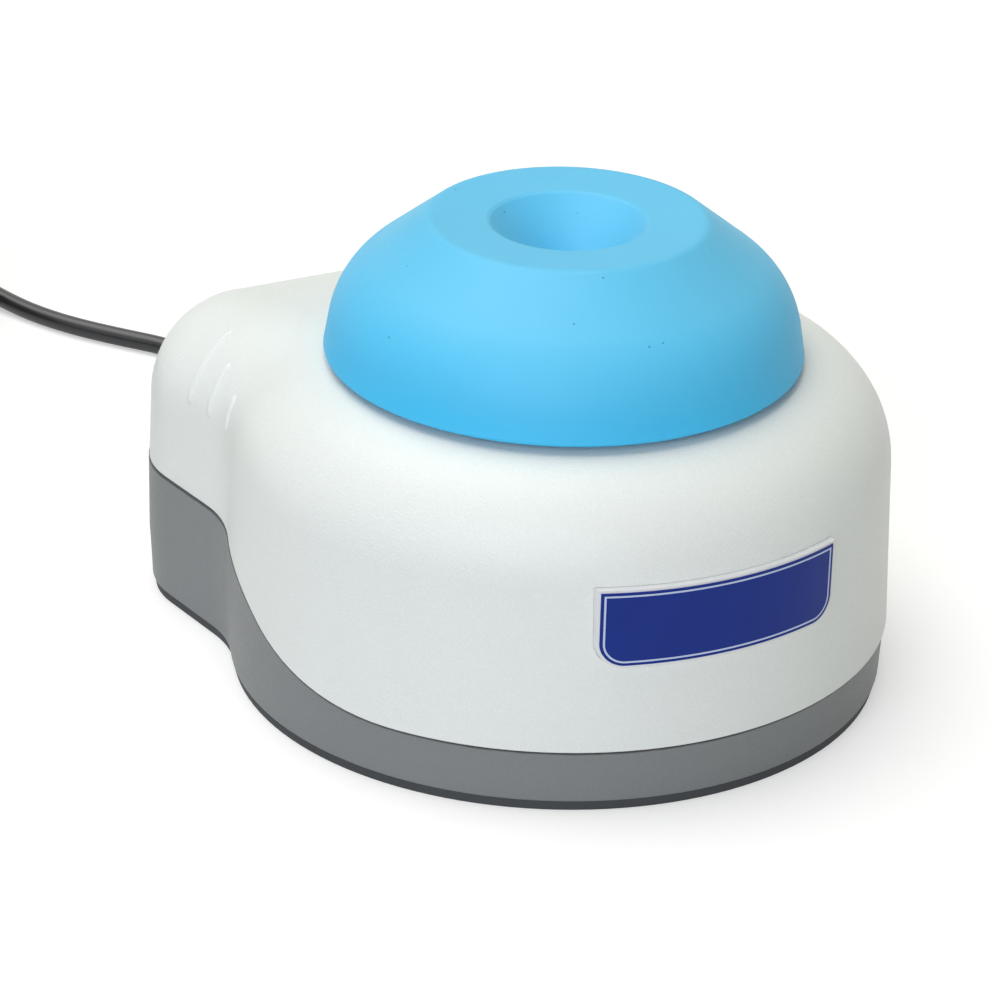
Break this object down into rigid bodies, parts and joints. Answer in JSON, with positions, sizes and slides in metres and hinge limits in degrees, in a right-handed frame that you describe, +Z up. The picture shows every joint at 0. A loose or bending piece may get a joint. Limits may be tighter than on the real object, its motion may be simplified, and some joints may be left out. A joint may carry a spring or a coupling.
{
  "type": "vortex mixer",
  "caption": "Low two-tone vortex mixer: a round-fronted body with a soft cup head that orbits when a tube is pressed into its dimple, on a lead with a plug-in adapter.",
  "frame": {"origin": "on the drive axis, in the plane of the rubber sole's underside", "axes": "+Z up along the drive axis; +Y to the tail, where the lead leaves; the badge faces -Y"},
  "size_m": [0.1566, 0.2675, 0.0784],
  "materials": {
    "cover": "satin",
    "base": "satin",
    "sole": "matte",
    "badge": "gloss",
    "film": "gloss",
    "head": "matte",
    "hub": "satin",
    "black_rubber": "satin",
    "black_plastic": "satin",
    "steel": "satin",
    "ballast_steel": "matte",
    "brass": "satin",
    "board": "satin",
    "sleeve": "gloss"
  },
  "bodies": {
    "housing": {"top_cover": "cover", "base_shell": "base", "rubber_sole": "sole", "badge_plate": "badge", "badge_film": "film", "ballast_plate": "ballast_steel", "ballast_screws": "steel", "case_screws": "steel", "guide_posts": "steel", "post_clips": "steel", "return_springs": "steel", "splash_seal": "black_rubber", "switch_bracket": "steel", "bracket_screws": "steel", "touch_switch": "black_plastic", "circuit_board": "board", "board_terminals": "black_plastic", "board_capacitor": "sleeve", "board_screws": "steel", "strain_relief": "black_rubber", "lead": "black_rubber", "lead_coil": "black_rubber", "lead_end": "black_rubber", "coil_tie": "black_plastic", "adapter_case": "black_plastic", "adapter_blades": "brass"},
    "carriage": {"slide_bushes": "brass", "motor_plate": "steel", "motor_can": "steel", "motor_cap": "black_plastic", "motor_terminals": "brass", "motor_screws": "steel"},
    "spindle": {"motor_shaft": "steel", "eccentric": "steel", "counterweight": "steel", "set_screw": "steel", "bearing_inner_race": "steel", "bearing_balls": "steel", "bearing_clip": "steel"},
    "head": {"bearing_outer_race": "steel", "head_hub": "hub", "mixing_head": "head"},
    "plunger": {"switch_plunger": "black_plastic"}
  },
  "joints": [
    {"name": "press", "type": "slide", "parent": "housing", "child": "carriage", "axis": [0, 0, -1], "range_m": [0, 0.0007], "stiffness_N_per_m": 3000, "springref_m": -0.002, "deforming": ["return_springs"]},
    {"name": "spin", "type": "hinge", "parent": "carriage", "child": "spindle", "pos_m": [0, 0, 0.045], "axis": [0, 0, 1], "continuous": true},
    {"name": "head_swivel", "type": "hinge", "parent": "spindle", "child": "head", "pos_m": [-0.001, -0.00173, 0.06], "axis": [0, 0, 1], "continuous": true},
    {"name": "plunger_press", "type": "slide", "parent": "housing", "child": "plunger", "axis": [0, 0, -1], "range_m": [0, 0.0007]}
  ],
  "couplings": [
    {"joint": "head_swivel", "follows": "spin", "ratio": -1},
    {"joint": "plunger_press", "follows": "press", "ratio": 1}
  ]
}
